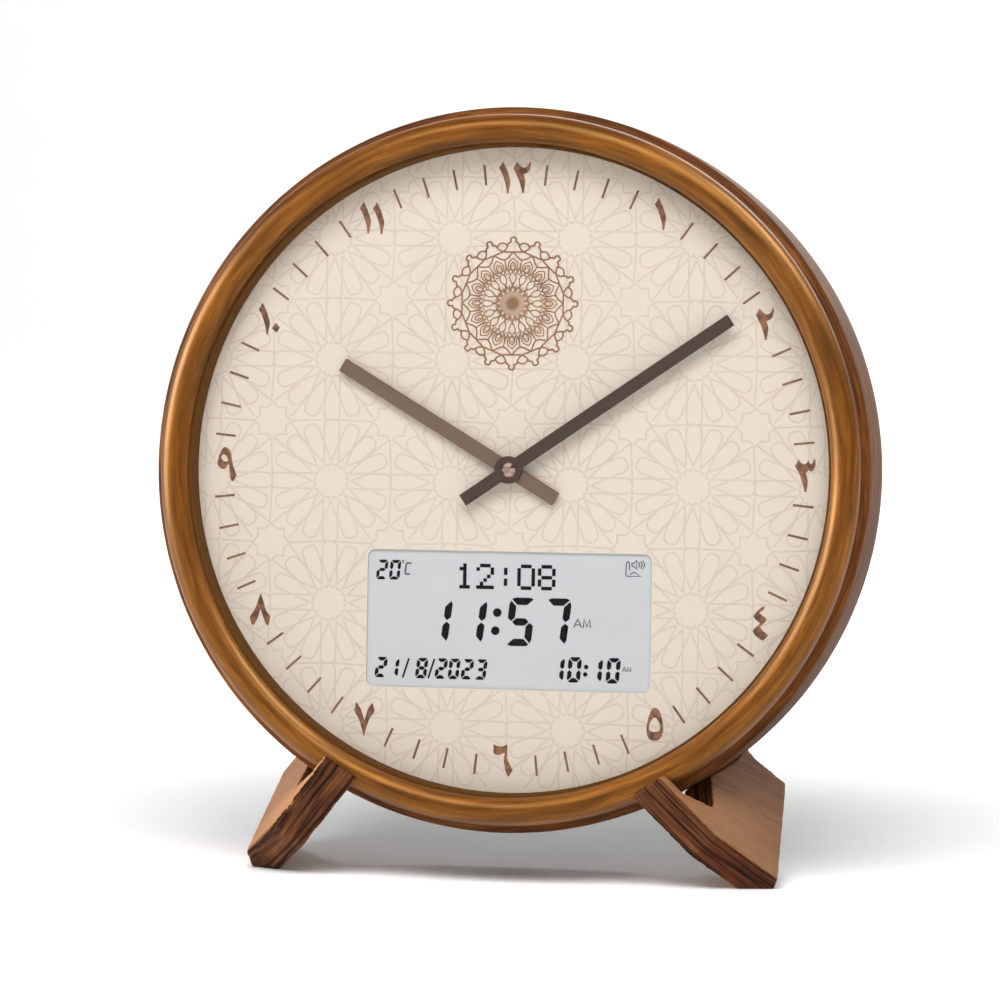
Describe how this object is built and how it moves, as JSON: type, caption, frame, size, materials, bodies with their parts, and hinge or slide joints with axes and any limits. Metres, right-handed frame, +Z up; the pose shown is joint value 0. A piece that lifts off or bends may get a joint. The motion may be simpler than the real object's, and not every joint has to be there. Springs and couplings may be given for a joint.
{
  "type": "azan clock",
  "caption": "Round wooden table clock with analogue hands, a printed patterned dial and a digital display, standing on hooked wooden feet.",
  "frame": {"origin": "on the floor plane, under the middle of the clock's whole width and depth", "axes": "+Z up, the dial faces -Y and leans back 5 degrees, +X to the right seen from the front"},
  "size_m": [0.2548, 0.0774, 0.2714],
  "materials": {
    "frame_wood": "satin lacquer over turned golden brown wood",
    "foot_wood": "oiled dark walnut, saw and chisel marks left on",
    "clear_glass": "clear, polished",
    "spacer_plastic": "matt brown",
    "dial_print": "matt cream print",
    "dark_plastic": "fine moulded texture",
    "lcd_glass": "grey display behind a matt polariser",
    "contact_rubber": "plain",
    "board_laminate": "green solder mask",
    "chip_plastic": "moulded",
    "screw_steel": "zinc plated",
    "brass": "turned",
    "gear_plastic": "natural acetal",
    "knob_plastic": "moulded, satin",
    "hand_metal": "brushed and tinted brown",
    "cap_metal": "turned and tinted brown",
    "cover_plastic": "fine spark-eroded texture",
    "cell_can": "plain printed sleeve",
    "contact_steel": "nickel plated",
    "magnet": "ground ferrite",
    "cone_paper": "pressed paper",
    "wire_jacket": "PVC"
  },
  "bodies": {
    "case": {"wooden_frame": "frame_wood", "front_lens": "clear_glass", "spacer_ring": "spacer_plastic", "dial_plate": "dial_print", "retaining_ring": "dark_plastic", "lcd_panel": "lcd_glass", "lcd_holder": "dark_plastic", "lcd_contact_strips": "contact_rubber", "main_board": "board_laminate", "board_chips": "chip_plastic", "board_screws": "screw_steel", "movement_case": "dark_plastic", "movement_cover": "dark_plastic", "motor_block": "chip_plastic", "shaft_washer": "contact_rubber", "shaft_nut": "brass", "back_cover": "cover_plastic", "back_cover_screws": "screw_steel", "battery_box": "dark_plastic", "batteries": "cell_can", "battery_contacts": "contact_steel", "battery_springs": "contact_steel", "speaker_basket": "screw_steel", "speaker_magnet": "magnet", "speaker_cone": "cone_paper", "button_board": "board_laminate", "button_switches": "chip_plastic", "switch_body": "contact_steel", "speaker_leads": "wire_jacket", "battery_leads": "wire_jacket", "button_leads": "wire_jacket", "right_foot": "foot_wood", "left_foot": "foot_wood", "foot_screws": "screw_steel"},
    "minute_hand_set": {"minute_hand": "hand_metal", "hand_cap": "cap_metal", "minute_arbor": "screw_steel"},
    "hour_hand_set": {"hour_hand": "hand_metal", "hour_wheel": "gear_plastic"},
    "motion_wheel_set": {"motion_wheel": "gear_plastic"},
    "setting_set": {"setting_arbor": "gear_plastic", "setting_knob": "knob_plastic"},
    "battery_door_leaf": {"battery_door": "cover_plastic"},
    "switch_slider_knob": {"switch_slider": "knob_plastic"},
    "button_set_key": {"button_set": "knob_plastic"},
    "button_up_key": {"button_up": "knob_plastic"},
    "button_down_key": {"button_down": "knob_plastic"},
    "button_light_key": {"button_light": "knob_plastic"}
  },
  "joints": [
    {"name": "minute_hand_turn", "type": "hinge", "parent": "case", "child": "minute_hand_set", "pos_m": [0, -0.0105, 0.1445], "axis": [0, 0.9962, -0.0872], "continuous": true},
    {"name": "hour_hand_turn", "type": "hinge", "parent": "case", "child": "hour_hand_set", "pos_m": [0, -0.0105, 0.1445], "axis": [0, 0.9962, -0.0872], "continuous": true},
    {"name": "motion_wheel_turn", "type": "hinge", "parent": "case", "child": "motion_wheel_set", "pos_m": [0, -0.00945, 0.15645], "axis": [0, 0.9962, -0.0872], "continuous": true},
    {"name": "setting_knob_turn", "type": "hinge", "parent": "case", "child": "setting_set", "pos_m": [0.01039, -0.00893, 0.16243], "axis": [0, 0.9962, -0.0872], "continuous": true},
    {"name": "battery_door_hinge", "type": "hinge", "parent": "case", "child": "battery_door_leaf", "pos_m": [0, 0.01614, 0.0451], "axis": [-1, 0, 0], "range_deg": [0, 100]},
    {"name": "sound_switch_slide", "type": "slide", "parent": "case", "child": "switch_slider_knob", "axis": [0, 0.0872, 0.9962], "range_m": [0, 0.005]},
    {"name": "button_set_press", "type": "slide", "parent": "case", "child": "button_set_key", "axis": [0, -0.9962, 0.0872], "range_m": [0, 0.0008], "stiffness_N_per_m": 400, "springref_m": -0.0004},
    {"name": "button_up_press", "type": "slide", "parent": "case", "child": "button_up_key", "axis": [0, -0.9962, 0.0872], "range_m": [0, 0.0008], "stiffness_N_per_m": 400, "springref_m": -0.0004},
    {"name": "button_down_press", "type": "slide", "parent": "case", "child": "button_down_key", "axis": [0, -0.9962, 0.0872], "range_m": [0, 0.0008], "stiffness_N_per_m": 400, "springref_m": -0.0004},
    {"name": "button_light_press", "type": "slide", "parent": "case", "child": "button_light_key", "axis": [0, -0.9962, 0.0872], "range_m": [0, 0.0008], "stiffness_N_per_m": 400, "springref_m": -0.0004}
  ],
  "couplings": [
    {"joint": "hour_hand_turn", "follows": "minute_hand_turn", "ratio": 0.083333},
    {"joint": "motion_wheel_turn", "follows": "minute_hand_turn", "ratio": -0.33333},
    {"joint": "setting_knob_turn", "follows": "minute_hand_turn", "ratio": 1}
  ]
}
